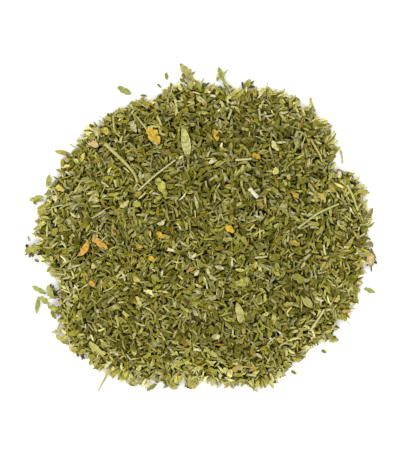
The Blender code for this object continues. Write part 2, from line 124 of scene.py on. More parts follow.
# Colours of the pieces that stand out, upper side and underside
WHITE_STRAW = ((0.60, 0.57, 0.40), (0.60, 0.57, 0.40))
STRAW = ((0.46, 0.43, 0.21), (0.46, 0.43, 0.21))
GREEN_STEM = ((0.38, 0.36, 0.12), (0.38, 0.36, 0.12))
LIME = ((0.30, 0.29, 0.060), (0.31, 0.30, 0.100))
OLIVE = ((0.20, 0.192, 0.030), (0.23, 0.22, 0.060))
SAGE = ((0.30, 0.292, 0.095), (0.33, 0.32, 0.130))
PALE = ((0.36, 0.34, 0.16), (0.38, 0.36, 0.18))
YELLOW = ((0.42, 0.355, 0.075), (0.40, 0.345, 0.095))
ORANGE = ((0.46, 0.29, 0.030), (0.44, 0.29, 0.050))
PEACH = ((0.50, 0.36, 0.16), (0.50, 0.37, 0.18))
BROWN = ((0.44, 0.24, 0.045), (0.46, 0.27, 0.070))
SLOT_COLOURS = {
    "green_flakes": OLIVE, "bright_leaves": LIME, "pale_leaves": SAGE, "green_stems": GREEN_STEM,
    "straw_stems": STRAW, "yellow_flakes": YELLOW, "orange_flakes": ORANGE, "peach_flakes": PEACH,
    "brown_flakes": BROWN,
}
FRESH = ((0.26, 0.28, 0.075), (0.28, 0.30, 0.110))
YELLOWISH = ((0.37, 0.34, 0.095), (0.38, 0.35, 0.120))
TAN = ((0.26, 0.21, 0.050), (0.28, 0.23, 0.070))
OWN_COLOURS = {
    "pale_flake": PALE, "loose_flake_10": PALE, "stem_piece_06": WHITE_STRAW, "loose_stem": PALE,
    "yellow_flake_02": LIME, "yellow_curl": YELLOWISH, "brown_flake_01": TAN, "green_leaf_01": SAGE,
    "green_leaf_02": SAGE, "green_leaf_03": OLIVE, "forked_sprig": FRESH, "loose_flake_01": FRESH,
    "loose_flake_03": FRESH, "loose_flake_04": FRESH, "loose_flake_05": FRESH, "loose_flake_06": FRESH,
    "loose_flake_13": FRESH,
}
OWN_WIDTHS = {"thick_stem": 0.74, "stalked_leaf": 0.78, "stem_piece_06": 0.8}
OWN_EDGES = {
    "stalked_leaf": "stalked", "green_leaf_01": "oval", "green_leaf_02": "oval", "green_leaf_09": "oval",
    "loose_flake_06": "spindle", "loose_flake_10": "spindle", "brown_flake_02": "spindle",
}

# The forked sprig at the top edge: points from above, then the radius at the start and the end, of its
# stalk and its thin arm, and the root, the tip and the width of the leaf on its other arm
SPRIG_LIMBS = (
    (((0.0079, 0.0408), (0.0066, 0.0428), (0.0053, 0.0448)), 0.0004, 0.0004),
    (((0.0052, 0.0444), (0.0060, 0.0457), (0.0069, 0.0470)), 0.0003, 0.0002),
)
SPRIG_LEAF = ((0.0056, 0.0441), (0.0043, 0.0478), 0.0018)

# Smaller pieces that lie on the heap and beside it: root and tip from above, width, slot, form of the edge
SMALL_PIECES = (
    ((-0.0123, 0.0339), (-0.0120, 0.0306), 0.0006, "green_stems", "stem"),
    ((0.0333, -0.0022), (0.0344, -0.0049), 0.0006, "straw_stems", "stem"),
    ((0.0160, 0.0360), (0.0157, 0.0322), 0.0006, "green_stems", "stem"),
    ((-0.0241, -0.0218), (-0.0235, -0.0252), 0.0006, "green_stems", "stem"),
    ((-0.0364, -0.0084), (-0.0342, -0.0078), 0.0006, "straw_stems", "stem"),
    ((0.0388, 0.0244), (0.0392, 0.0207), 0.0005, "straw_stems", "stem"),
    ((0.0302, 0.0392), (0.0316, 0.0353), 0.0006, "green_stems", "stem"),
    ((0.0090, 0.0214), (0.0134, 0.0216), 0.0007, "straw_stems", "stem"),
    ((0.0101, -0.0138), (0.0123, -0.0110), 0.0021, "bright_leaves", "lobed"),
    ((0.0112, -0.0118), (0.0084, -0.0136), 0.0013, "bright_leaves", "lobed"),
    ((0.0138, -0.0084), (0.0150, -0.0070), 0.0014, "yellow_flakes", "lobed"),
    ((-0.0469, 0.0049), (-0.0449, 0.0036), 0.0018, "orange_flakes", "lobed"),
    ((-0.0462, 0.0074), (-0.0446, 0.0058), 0.0017, "peach_flakes", "lobed"),
    ((0.0319, 0.0119), (0.0338, 0.0105), 0.0017, "yellow_flakes", "oval"),
    ((-0.0186, -0.0020), (-0.0166, -0.0030), 0.0013, "orange_flakes", "oval"),
    ((-0.0150, -0.0053), (-0.0135, -0.0066), 0.0013, "orange_flakes", "oval"),
    ((-0.0196, -0.0110), (-0.0173, -0.0121), 0.0017, "yellow_flakes", "oval"),
    ((-0.0319, -0.0124), (-0.0299, -0.0134), 0.0013, "brown_flakes", "oval"),
    ((0.0206, -0.0280), (0.0227, -0.0293), 0.0016, "yellow_flakes", "oval"),
    ((0.0302, -0.0278), (0.0321, -0.0291), 0.0015, "peach_flakes", "oval"),
    ((0.0134, -0.0360), (0.0152, -0.0372), 0.0014, "orange_flakes", "oval"),
    ((-0.0018, -0.0362), (0.0003, -0.0369), 0.0015, "yellow_flakes", "oval"),
    ((0.0184, 0.0398), (0.0184, 0.0422), 0.0014, "bright_leaves", "oval"),
    ((0.0333, 0.0314), (0.0358, 0.0319), 0.0014, "bright_leaves", "oval"),
    ((-0.0373, 0.0232), (-0.0416, 0.0242), 0.0013, "bright_leaves", "spindle"),
    ((-0.0437, 0.0143), (-0.0432, 0.0176), 0.0014, "bright_leaves", "oval"),
    ((0.0467, 0.0054), (0.0477, 0.0082), 0.0012, "bright_leaves", "oval"),
    ((0.0468, -0.0012), (0.0478, -0.0028), 0.0011, "bright_leaves", "oval"),
    ((-0.0176, 0.0399), (-0.0157, 0.0397), 0.0006, "green_flakes", "spindle"),
    ((-0.0129, 0.0431), (-0.0118, 0.0420), 0.0006, "green_flakes", "spindle"),
    ((-0.0064, 0.0446), (-0.0050, 0.0434), 0.0014, "green_flakes", "oval"),
    ((-0.0473, -0.0064), (-0.0461, -0.0070), 0.0008, "green_flakes", "oval"),
    ((-0.0210, -0.0412), (-0.0192, -0.0419), 0.0008, "bright_leaves", "spindle"),
    ((0.0333, -0.0318), (0.0347, -0.0326), 0.0010, "green_flakes", "oval"),
    ((0.0248, -0.0376), (0.0263, -0.0386), 0.0009, "green_flakes", "oval"),
    ((-0.0492, 0.0003), (-0.0489, -0.0012), 0.0005, "pale_leaves", "spindle"),
)

# The camera looks straight down on the middle of the photographed field
CAMERA_HEIGHT = 0.9
FIELD_LONG_SIDE = 0.12796
FIELD_CENTRE = (-0.00084, 0.00238)
FIELD_HEIGHT = 0.004
SENSOR = 36.0

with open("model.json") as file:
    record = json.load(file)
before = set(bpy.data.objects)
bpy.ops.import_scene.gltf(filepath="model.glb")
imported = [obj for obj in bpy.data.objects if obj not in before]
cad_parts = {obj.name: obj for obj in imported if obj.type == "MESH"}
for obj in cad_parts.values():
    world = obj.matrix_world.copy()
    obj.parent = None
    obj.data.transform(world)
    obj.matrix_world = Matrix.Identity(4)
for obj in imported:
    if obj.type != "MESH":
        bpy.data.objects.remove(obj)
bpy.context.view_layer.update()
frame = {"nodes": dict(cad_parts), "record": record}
rng = np.random.default_rng(SEED)


def edge_radius(angle):
    """The heap's outer edge in this direction."""
    waved = EDGE_RADIUS + sum(c * np.cos(k * angle) + s * np.sin(k * angle) for k, c, s in EDGE_WAVES)
    for middle, half, depth in EDGE_DENTS:
        apart = (angle - math.radians(middle) + math.pi) % math.tau - math.pi
        waved = waved + depth * np.exp(-(apart / math.radians(half)) ** 2)
    return waved


def surface_height(x, y):
    """The height of the heap's mean surface, 0 from its edge on."""
    share = np.hypot(x, y) / edge_radius(np.arctan2(y, x))
    return HEAP_HEIGHT * np.maximum(0, 1 - share**PROFILE_POWER)


def surface_normal(x, y):
    """The upward normal of the mean surface."""
    step = 0.001
    slope_x = (surface_height(x + step, y) - surface_height(x - step, y)) / (2 * step)
    slope_y = (surface_height(x, y + step) - surface_height(x, y - step)) / (2 * step)
    normal = np.array((-slope_x, -slope_y, 1.0))
    return normal / np.linalg.norm(normal)


def smooth_noise(size, shape, cell):
    """Values near -1 to 1 that change over this size, on a grid of cells."""
    knots = int(math.ceil(shape * cell / size)) + 3
    values = rng.uniform(-1, 1, (knots, knots))
    place = np.arange(shape) * cell / size
    first = place.astype(int)
    part = place - first
    part = part * part * (3 - 2 * part)
    rows = values[first] * (1 - part)[:, None] + values[first + 1] * part[:, None]
    return rows[:, first] * (1 - part)[None, :] + rows[:, first + 1] * part[None, :]


# Blades: closed, thin, bent leaf pieces


def lobes(along):
    """How far a leaf's side reaches out, with rounded lobes between notches."""
    count, start = rng.uniform(1.6, 2.6), rng.uniform(0, 1)
    return 0.5 + 0.5 * np.abs(np.sin(math.pi * (count * along + start))) ** 0.6


def edge_shape(edge, stations):
    """(place along, left width, right width) at each station, widths as shares of the half width."""
    along = np.linspace(0, 1, stations)
    if edge == "spindle":
        left = right = 0.12 + 0.88 * np.sin(math.pi * along) ** 0.75
    elif edge == "oval":
        left = right = 0.1 + 0.9 * np.sin(math.pi * along**0.85) ** 0.8
    elif edge == "lobed":
        left = right = 0.15 + 0.85 * np.sin(math.pi * along**0.9) ** 0.6
    elif edge == "stalked":
        body = np.clip((along - 0.3) / 0.7, 0, 1)
        left = right = 0.13 + 0.87 * np.sin(math.pi * body**0.8) ** 0.8 * (along > 0.3)
    else:
        left = right = np.full(stations, 0.95)
    if edge == "lobed":
        left, right = left * lobes(along), right * lobes(along)
    worn = 0.12 if edge in ("spindle", "oval") else 0.45 if edge == "cut" else 0.0
    left = left * rng.uniform(1 - worn, 1, stations)
    right = right * rng.uniform(1 - worn, 1, stations)
    return along, left, right


def bent(x, y, z, length, half, fold, roll, curl, twist):
    """Flat leaf points folded along the rib, rolled across it, twisted and curled along it."""
    side, up = np.abs(y) * np.cos(fold), np.abs(y) * np.sin(fold)
    side = np.sign(y) * side
    if abs(roll) > 1e-3:
        radius = half / roll
        up = up + radius * (1 - np.cos(side / radius))
        side = radius * np.sin(side / radius)
    turn = twist * (x / length - 0.5)
    side, up = side * np.cos(turn) - up * np.sin(turn), side * np.sin(turn) + up * np.cos(turn)
    up = up + z
    if abs(curl) > 1e-3:
        radius = length / curl
        angle = curl * (x / length - 0.5)
        return radius * np.sin(angle) - up * np.sin(angle), side, radius * (1 - np.cos(angle)) + up * np.cos(angle)
    return x - length / 2, side, up


def grid_normals(points):
    """The unit normal at each point of a grid of points."""
    along = np.gradient(points, axis=0)
    across = np.gradient(points, axis=1)
    normal = np.cross(along, across)
    return normal / np.maximum(np.linalg.norm(normal, axis=2, keepdims=True), 1e-12)


def closed_blade(points, leaf, thickness):
    """A closed thin body round a grid of points, with its leaf coordinates and its bake layout."""
    rows, columns = points.shape[:2]
    normal = grid_normals(points)
    verts = np.concatenate([
        (points + normal * thickness / 2).reshape(-1, 3),
        (points - normal * thickness / 2).reshape(-1, 3),
    ])
    count = rows * columns
    number = np.arange(count).reshape(rows, columns)
    a, b = number[:-1, :-1].ravel(), number[1:, :-1].ravel()
    c, d = number[1:, 1:].ravel(), number[:-1, 1:].ravel()
    upper = np.stack([a, b, c, d], 1)
    lower = np.stack([a, d, c, b], 1) + count
    ring = np.concatenate([number[:-1, 0], number[-1, :-1], number[:0:-1, -1], number[0, :0:-1]])
    following = np.roll(ring, -1)
    rim = np.stack([following, ring, ring + count, following + count], 1)
    across, along = np.meshgrid(np.linspace(0, 1, columns), np.linspace(0, 1, rows))
    flat = np.stack([across.ravel(), along.ravel()], 1)
    upper_uv = flat * (0.38, 0.86) + (0.06, 0.07)
    lower_uv = flat * (0.38, 0.86) + (0.56, 0.07)
    outward = np.sign(flat - 0.5) * (np.abs(flat - 0.5) > 0.49) * 0.045
    rim_uv = np.stack([
        upper_uv[following], upper_uv[ring], upper_uv[ring] + outward[ring],
        upper_uv[following] + outward[following],
    ], 1)
    uv = np.concatenate([upper_uv[upper], lower_uv[lower - count], rim_uv])
    return {
        "verts": verts,
        "faces": np.concatenate([upper, lower, rim]),
        "uv": uv,
        "leaf": np.concatenate([leaf, leaf]),
        "upper": np.arange(2 * count) < count,
    }


def blade_grid(edge, stations, columns, length, width, bend, shear=(0, 0), ripple=0.0):
    """The bent middle surface of a blade as a grid of points, and each point's leaf coordinates."""
    along, left, right = edge_shape(edge, stations)
    half = width / 2
    share = np.linspace(-1, 1, columns)
    reach = np.where(share[None, :] < 0, left[:, None], right[:, None]) * half
    y = share[None, :] * reach
    slant = shear[0] * (1 - along) + shear[1] * along
    x = along[:, None] * length + y * slant[:, None]
    z = rng.uniform(-ripple, ripple, x.shape) if ripple else np.zeros_like(x)
    leaf = np.stack([x / MM, y / MM, np.broadcast_to(share[None, :], x.shape)], 2).reshape(-1, 3)
    points = np.stack(bent(x, y, z, length, half, *bend), 2)
    return points, leaf


def even_samples(points, spacing):
    """Points spread over a grid surface, no further apart than this."""
    rows, columns = points.shape[:2]
    long = np.linalg.norm(np.diff(points[:, columns // 2], axis=0), axis=1).sum()
    wide = np.linalg.norm(np.diff(points[rows // 2], axis=0), axis=1).sum()
    u = np.linspace(0, rows - 1, max(3, int(long / spacing) + 2))
    v = np.linspace(0, columns - 1, max(3, int(wide / spacing) + 2))
    i = np.minimum(u.astype(int), rows - 2)
    j = np.minimum(v.astype(int), columns - 2)
    s, t = (u - i)[:, None, None], (v - j)[None, :, None]
    near = points[i][:, j] * (1 - s) + points[i + 1][:, j] * s
    far = points[i][:, j + 1] * (1 - s) + points[i + 1][:, j + 1] * s
    return (near * (1 - t) + far * t).reshape(-1, 3)


def leaf_form(length, width, fold, roll, curl, twist, edge, stations, columns):
    """One form of flake, drawn at random within its kind's ranges."""
    bend = [math.radians(rng.uniform(*limits)) for limits in (fold, roll, curl, twist)]
    long, wide = rng.uniform(*length) * MM, rng.uniform(*width) * MM
    shear = rng.uniform(-0.7, 0.7, 2) if edge == "cut" else (0, 0)
    points, leaf = blade_grid(edge, stations, columns, long, wide, bend, shear, ripple=RIPPLE)
    points = points - points.reshape(-1, 3).mean(0)
    form = closed_blade(points, leaf, FLAKE_THICKNESS)
    form["samples"] = even_samples(points, 0.8 * GRID_CELL)
    form["stem"] = False
    return form


def tube_form(path, radii, sides, grooves=0.0):
    """A closed tube round a path of points, as a form."""
    path = np.asarray(path, float)
    ahead = np.gradient(path, axis=0)
    ahead /= np.linalg.norm(ahead, axis=1, keepdims=True)
    level_side = np.cross((0, 0, 1), ahead)
    level_side /= np.linalg.norm(level_side, axis=1, keepdims=True)
    upward = np.cross(ahead, level_side)
    angle = np.linspace(0, math.tau, sides, endpoint=False)
    swell = 1 + grooves * np.cos(angle * sides / 2)
    ring = np.cos(angle)[None, :, None] * level_side[:, None] + np.sin(angle)[None, :, None] * upward[:, None]
    points = path[:, None] + ring * (np.asarray(radii)[:, None] * swell[None, :])[:, :, None]
    rows = len(path)
    number = np.arange(rows * sides).reshape(rows, sides)
    following = np.roll(number, -1, axis=1)
    walls = np.stack([number[:-1], following[:-1], following[1:], number[1:]], 2).reshape(-1, 4)
    caps = []
    for first in range(1, sides - 2, 2):
        caps.append([number[0, 0], number[0, first + 2], number[0, first + 1], number[0, first]])
        caps.append([number[-1, 0], number[-1, first], number[-1, first + 1], number[-1, first + 2]])
    walk = np.linalg.norm(np.diff(path, axis=0), axis=1).cumsum()
    along = np.concatenate([[0], walk])
    leaf = np.stack([
        np.repeat(along / MM, sides), np.tile(angle, rows), np.tile(np.sin(angle), rows),
    ], 1)
    u = np.arange(sides + 1) / sides * 0.86 + 0.07
    v = np.linspace(0.07, 0.8, rows)
    wall_uv = np.array([
        [(u[s], v[r]), (u[s + 1], v[r]), (u[s + 1], v[r + 1]), (u[s], v[r + 1])]
        for r in range(rows - 1) for s in range(sides)
    ])
    disc = np.stack([np.cos(angle), np.sin(angle)], 1) * 0.05
    middles = {0: (0.25, 0.9), rows - 1: (0.65, 0.9)}
    cap_uv = np.array([[disc[n % sides] + middles[n // sides] for n in cap] for cap in caps])
    return {
        "verts": points.reshape(-1, 3),
        "faces": np.concatenate([walls, np.array(caps)]),
        "uv": np.concatenate([wall_uv, cap_uv]),
        "leaf": leaf,
        "upper": np.ones(rows * sides, bool),
        "samples": points.reshape(-1, 3),
        "stem": True,
    }


def stem_bit_form():
    """A short, thin cut of stem, slightly bent."""
    length = rng.uniform(1.6, 4.2) * MM
    radius = rng.uniform(0.13, 0.26) * MM
    bow = rng.uniform(-0.12, 0.12) * length
    t = np.linspace(-0.5, 0.5, 4)
    path = np.stack([t * length, bow * (1 - 4 * t * t), np.zeros(4)], 1)
    radii = radius * np.linspace(1, rng.uniform(0.6, 1.0), 4)
    return tube_form(path, radii, 6)


# Laying flakes


class Ground:
    """The heights that flakes are laid on, with how high they should come and what is above them."""

    def __init__(self):
        self.size = int(2 * GRID_HALF / GRID_CELL)
        place = (np.arange(self.size) + 0.5) * GRID_CELL - GRID_HALF
        self.x, self.y = np.meshgrid(place, place, indexing="ij")
        mean = surface_height(self.x, self.y)
        inside = np.clip(mean / (0.3 * HEAP_HEIGHT), 0, 1)
        lumps = sum(smooth_noise(size, self.size, GRID_CELL) for size in LUMP_SIZES)
        self.wanted = mean + inside * (SURFACE_RAISE + LUMP_HEIGHT * lumps)
        self.wanted[mean <= 0] = 0
        self.level = np.maximum(0, self.wanted - CORE_DEPTH)
        self.core = self.level.copy()
        patches = sum(smooth_noise(size, self.size, GRID_CELL) for size in PATCH_SIZES)
        self.patch = 1 + PATCH_SPREAD * patches
        self.ceiling = np.full((self.size, self.size), np.inf)
        outside = np.hypot(self.x, self.y) - edge_radius(np.arctan2(self.y, self.x))
        for count, depth in EDGE_RAGS:
            outside = outside + depth * np.sin(count * np.arctan2(self.y, self.x) + rng.uniform(0, math.tau))
        self.allowed = outside < -EDGE_INSET
        self.beside = outside < SUPPORT_OUTSIDE

    def cells(self, points):
        index = ((points[..., :2] + GRID_HALF) / GRID_CELL).astype(int)
        return np.clip(index, 0, self.size - 1)

    def raise_to(self, points):
        """Heights come up to these points, and to what is under them nothing is added."""
        i, j = self.cells(points).T
        order = np.argsort(points[:, 2])
        i, j, z = i[order], j[order], points[order, 2]
        self.level[i, j] = np.maximum(self.level[i, j], z)

    def support(self, points):
        """The wanted surface rises or dips smoothly to just under a piece that stays where it is."""
        i, j = self.cells(points).T
        under = np.full((self.size, self.size), np.inf)
        np.minimum.at(under, (i, j), points[:, 2] - CEILING_GAP)
        rows, columns = np.nonzero(np.isfinite(under))
        reach = int(SUPPORT_REACH / GRID_CELL)
        step = np.arange(-reach, reach + 1)
        distance = np.hypot(step[:, None], step[None, :]) * GRID_CELL
        near = distance <= SUPPORT_REACH
        rise = np.zeros_like(self.wanted)
        dip = np.zeros_like(self.wanted)
        below = np.zeros_like(self.allowed)
        for r, c in zip(rows, columns):
            difference = under[r, c] - self.wanted[r, c]
            patch = (slice(r - reach, r + reach + 1), slice(c - reach, c + reach + 1))
            change = np.where(near, np.maximum(0, abs(difference) - SUPPORT_SLOPE * distance), 0)
            if difference > 0:
                rise[patch] = np.maximum(rise[patch], change)
                below[patch] |= distance < SUPPORT_MARGIN
            else:
                dip[patch] = np.maximum(dip[patch], change)
        self.wanted = np.maximum(0, self.wanted + rise - dip)
        self.ceiling = np.minimum(self.ceiling, under)
        self.allowed |= self.beside & below & (rise > FLAKE_THICKNESS)


def turned_to(normal, heading):
    """Axes of a piece that lies square to this normal and points this way."""
    normal = normal / np.linalg.norm(normal)
    along = np.array((math.cos(heading), math.sin(heading), 0))
    along = along - normal * (along @ normal)
    along /= np.linalg.norm(along)
    return np.stack([along, np.cross(normal, along), normal], 1)


def laid(ground, form, x, y, heading, size, tilt=(0.0, 0.0), over=False, contact=CONTACT_SHARE):
    """Where a form comes to rest at this place, as (axes, place, its points), or None if it can't."""
    samples = form["samples"] * size
    if over:
        samples = samples * (1, 1, -1)
    flat = turned_to(np.array((0, 0, 1.0)), heading)
    points = samples @ flat.T + (x, y, 0)
    cells = ground.cells(points)
    below = ground.level[cells[:, 0], cells[:, 1]]
    dx, dy = points[:, 0] - x, points[:, 1] - y
    table = np.stack([dx, dy, np.ones_like(dx)], 1)
    slope_x, slope_y, _ = np.linalg.lstsq(table.T @ table + 1e-12 * np.eye(3), table.T @ below, rcond=None)[0]
    steep = math.hypot(slope_x, slope_y)
    limit = math.tan(SLOPE_LIMIT)
    if steep > limit:
        slope_x, slope_y = slope_x * limit / steep, slope_y * limit / steep
    normal = np.array((-slope_x + tilt[0], -slope_y + tilt[1], 1.0))
    axes = turned_to(normal, heading)
    points = samples @ axes.T + (x, y, 0)
    cells = ground.cells(points)
    i, j = cells[:, 0], cells[:, 1]
    half = FLAKE_THICKNESS / 2 * (not form["stem"])
    lift = np.quantile(ground.level[i, j] - points[:, 2] + half, contact)
    lift = max(lift, -placed(form, axes, (0, 0, 0), size, over)[:, 2].min())
    points[:, 2] += lift + half
    if (points[:, 2] > ground.ceiling[i, j]).any():
        return None
    return axes, np.array((x, y, lift)), points


def flake_list(forms, shares, ground):
    """Flakes laid at random up to the wanted surface: (form, axes, place, size, over, shade), where shade is
    painted shade on flakes that lie deep, times random patches of tone.
    """
    limit = FLAKE_LIMIT * 1
    flakes = []
    while len(flakes) < limit:
        missing = np.where(ground.allowed, np.maximum(0, ground.wanted - ground.level), 0).ravel()
        if (missing > 0.0003).mean() < 0.002:
            break
        weights = missing.cumsum()
        picks = np.searchsorted(weights, rng.uniform(0, weights[-1], BATCH))
        for pick in picks:
            i, j = divmod(int(pick), ground.size)
            if ground.level[i, j] > ground.wanted[i, j]:
                continue
            number = int(np.searchsorted(shares, rng.uniform()))
            size = rng.uniform(0.85, 1.15, 3) if not forms[number]["stem"] else np.ones(3)
            over = bool(rng.integers(2)) and not forms[number]["stem"]
            tilt = rng.normal(0, TILT_SPREAD, 2)
            x, y = ground.x[i, j] + rng.uniform(-0.5, 0.5) * GRID_CELL, ground.y[i, j]
            rest = laid(ground, forms[number], x, y, rng.uniform(0, math.tau), size, tilt, over)
            if rest is None:
                continue
            axes, place, points = rest
            cells = ground.cells(points)
            if points[:, 2].mean() > ground.wanted[cells[:, 0], cells[:, 1]].mean() + OVERSHOOT:
                continue
            ground.raise_to(points)
            # Painted shade: the deeper a flake lies below the wanted surface, the darker its tint
            painted_depth_shade = min(1, max(DEEP_SHADE, 1 - (ground.wanted[i, j] - place[2]) / DEEP))
            flakes.append((number, axes, place, size, over, painted_depth_shade * ground.patch[i, j]))
    return flakes


def fringe_list(forms, ground):
    """Flakes that stick out all round the edge, on their own and in tufts."""
    spans = [np.ptp(form["verts"][:, :2], axis=0) for form in forms]
    narrow = [n for n, span in enumerate(spans) if span[0] > 0.0018 and span[1] < 0.0013]
    long = [n for n, span in enumerate(spans) if span[0] > 0.0025 and span[1] < 0.0018]
    wanted = []
    for _ in range(FRINGE_FLAKES):
        wanted.append((rng.uniform(0, math.tau), FRINGE_PLACES, FRINGE_SPREAD, narrow))
    for _ in range(TUFTS):
        middle = rng.uniform(0, math.tau)
        for _ in range(TUFT_FLAKES):
            wanted.append((middle + rng.uniform(-1, 1) * TUFT_WIDTH, TUFT_PLACES, TUFT_SPREAD, long))
    flakes = []
    for angle, places, spread, numbers in wanted:
        radius = edge_radius(angle) + rng.uniform(*places)
        x, y = radius * math.cos(angle), radius * math.sin(angle)
        number = int(rng.choice(numbers))
        heading = angle + rng.uniform(-1, 1) * spread
        over = bool(rng.integers(2)) and not forms[number]["stem"]
        rest = laid(ground, forms[number], x, y, heading, np.ones(3), rng.normal(0, 0.1, 2), over)
        if rest:
            axes, place, points = rest
            ground.raise_to(points)
            flakes.append((number, axes, place, np.ones(3), over, 1))
    return flakes


# Pieces that stand for the solids one by one


def own_axes(points):
    """A piece's middle and its axes: along it, across it, and up from the heap's slope."""
    middle = (points.min(0) + points.max(0)) / 2
    along = np.linalg.svd(points - points.mean(0), full_matrices=False)[2][0]
    up = surface_normal(*middle[:2])
    across = np.cross(up, along)
    across /= np.linalg.norm(across)
    return middle, np.stack([along, across, np.cross(along, across)], 1)


def node_points(node):
    """The different corner points of a solid."""
    mesh = frame["nodes"][node].data
    points = np.array([v.co for v in mesh.vertices], float)
    return np.unique(points.round(7), axis=0)


def leaf_detail(node, edge):
    """A thin, finer leaf along a leaf solid, with its bend, fold and width, as (form, under, top)."""
    middle, axes = own_axes(node_points(node))
    x, y, z = ((node_points(node) - middle) @ axes).T
    line = np.polyfit(x, y, 2)
    off_line = np.abs(y - np.polyval(line, x))
    if edge == "stalked" and off_line[x > 0].max() < off_line[x < 0].max():
        axes = axes * (-1, -1, 1)
        x, y, z = ((node_points(node) - middle) @ axes).T
        line = np.polyfit(x, y, 2)
    table = np.stack([np.ones_like(x), x, x * x, off_line], 1)
    level, tilt, curl, fold = np.linalg.lstsq(table, z, rcond=None)[0]
    stations, columns = 17, 7
    along, left, right = edge_shape(edge, stations)
    share = np.linspace(-1, 1, columns)
    half = off_line.max() * OWN_WIDTHS.get(node, LEAF_NARROWING)
    grid_x = np.broadcast_to((x.min() + along * (x.max() - x.min()))[:, None], (stations, columns))
    off = share[None, :] * np.where(share[None, :] < 0, left[:, None], right[:, None]) * half
    waves, start = rng.uniform(1.5, 3.0), rng.uniform(0, math.tau, 2)
    crinkle = np.sin(math.tau * waves * along[:, None] + np.where(share < 0, *start)[None, :])
    grid_y = np.polyval(line, grid_x) + off
    grid_z = level + tilt * grid_x + curl * grid_x**2 + fold * np.abs(off)
    grid_z = grid_z + 0.14 * half * crinkle * share[None, :] ** 2 + rng.uniform(-RIPPLE, RIPPLE, off.shape)
    grid_z = grid_z - (SOLID_THICKNESS - FLAKE_THICKNESS) / 2
    points = np.stack([grid_x, grid_y, grid_z], 2) @ axes.T + middle
    leaf = np.stack([(grid_x - x.min()) / MM, off / MM, np.broadcast_to(share, off.shape)], 2)
    return blade_detail(points, leaf.reshape(-1, 3))


def blade_detail(points, leaf):
    """A blade in place, with the points of its underside and of its top."""
    points = points + (0, 0, max(0, FLAKE_THICKNESS - points[:, :, 2].min()))
    form = closed_blade(points, leaf, FLAKE_THICKNESS)
    samples = even_samples(points, 0.8 * GRID_CELL)
    return form, samples - (0, 0, FLAKE_THICKNESS / 2), samples + (0, 0, FLAKE_THICKNESS / 2)


def stem_detail(node):
    """A finer, grooved stem along a stem solid, as (form, under, top)."""
    points = node_points(node)
    middle, axes = own_axes(points)
    local = (points - middle) @ axes
    local = local[np.argsort(local[:, 0])]
    rings = np.split(local, np.nonzero(np.diff(local[:, 0]) > 0.0006)[0] + 1)
    centres = np.array([ring.mean(0) for ring in rings])
    radii = [np.linalg.norm(ring - centre, axis=1).mean() for ring, centre in zip(rings, centres)]
    return tube_detail(centres, np.array(radii) * OWN_WIDTHS.get(node, STEM_THINNING), middle, axes)


def tube_detail(centres, radii, middle=(0, 0, 0), axes=np.eye(3)):
    """A smooth, grooved tube through these centres, as (form, under, top)."""
    walk = np.linalg.norm(np.diff(centres, axis=0), axis=1).cumsum()
    walk = np.concatenate([[0], walk])
    rings = 14
    t = np.linspace(0, walk[-1], rings)
    path = np.stack([np.interp(t, walk, centres[:, k]) for k in range(3)], 1)
    for _ in range(3):
        path[1:-1] = (path[:-2] + 2 * path[1:-1] + path[2:]) / 4
    radius = np.interp(t, walk, radii) * rng.uniform(0.9, 1.06, rings)
    path = path @ np.asarray(axes).T + middle
    path[:, 2] = np.maximum(path[:, 2], 1.1 * radius)
    fine = np.linspace(0, rings - 1, 80)
    dense = np.stack([np.interp(fine, np.arange(rings), path[:, k]) for k in range(3)], 1)
    reach = np.interp(fine, np.arange(rings), radius)[:, None]
    return tube_form(path, radius, 10, 0.08), dense - (0, 0, 1) * reach, dense + (0, 0, 1) * reach


def sprig_detail():
    """The forked sprig: a stalk, a thin arm and an arm that is a small rolled leaf."""
    solid = node_points("forked_sprig")

    def height(x, y):
        near = np.hypot(solid[:, 0] - x, solid[:, 1] - y) < 0.001
        return (solid[near, 2].min() + solid[near, 2].max()) / 2

    made = []
    for places, start, end in SPRIG_LIMBS:
        centres = np.array([(x, y, height(x, y)) for x, y in places])
        made.append(tube_detail(centres, np.linspace(start, end, len(centres))))
    root, tip, width = SPRIG_LEAF
    ends = np.array([(*root, height(*root)), (*tip, height(*tip))])
    length = np.linalg.norm(ends[1] - ends[0])
    bend = (math.radians(20), math.radians(50), 0, 0)
    points, leaf = blade_grid("oval", 11, 7, length, width, bend)
    along = (ends[1] - ends[0]) / length
    across = np.cross((0, 0, 1), along)
    across /= np.linalg.norm(across)
    axes = np.stack([along, across, np.cross(along, across)], 1)
    made.append(blade_detail(points @ axes.T + ends.mean(0) - (0, 0, 0.0003), leaf))
    return made


def node_details(ground):
    """The fine form of each separate solid: (node, slot, [(form, under, top)])."""
    slots = {part["node"]: part["material_slot"] for part in frame["record"]["subparts"]}
    details = []
    for node, slot in sorted(slots.items()):
        if node == "green_flake_heap":
            continue
        if node == "forked_sprig":
            made = sprig_detail()
        elif "stem" in node:
            made = [stem_detail(node)]
        else:
            made = [leaf_detail(node, OWN_EDGES.get(node, "lobed"))]
        details.append((node, slot, made))
        ground.support(np.concatenate([under for _, under, _ in made]))
    return details


def detail_pieces(details, leaf_surface, stem_surface):
    """One piece for each separate solid, in its place."""
    for node, slot, made in details:
        tint, under = two_tints(OWN_COLOURS.get(node, SLOT_COLOURS[slot]))
        parts = [(form, form["verts"], False, tint, under) for form, _, _ in made]
        surface = stem_surface if "stems" in slot and node != "forked_sprig" else leaf_surface
        finished(mesh_from(node + "_fine", parts), surface, (node,))


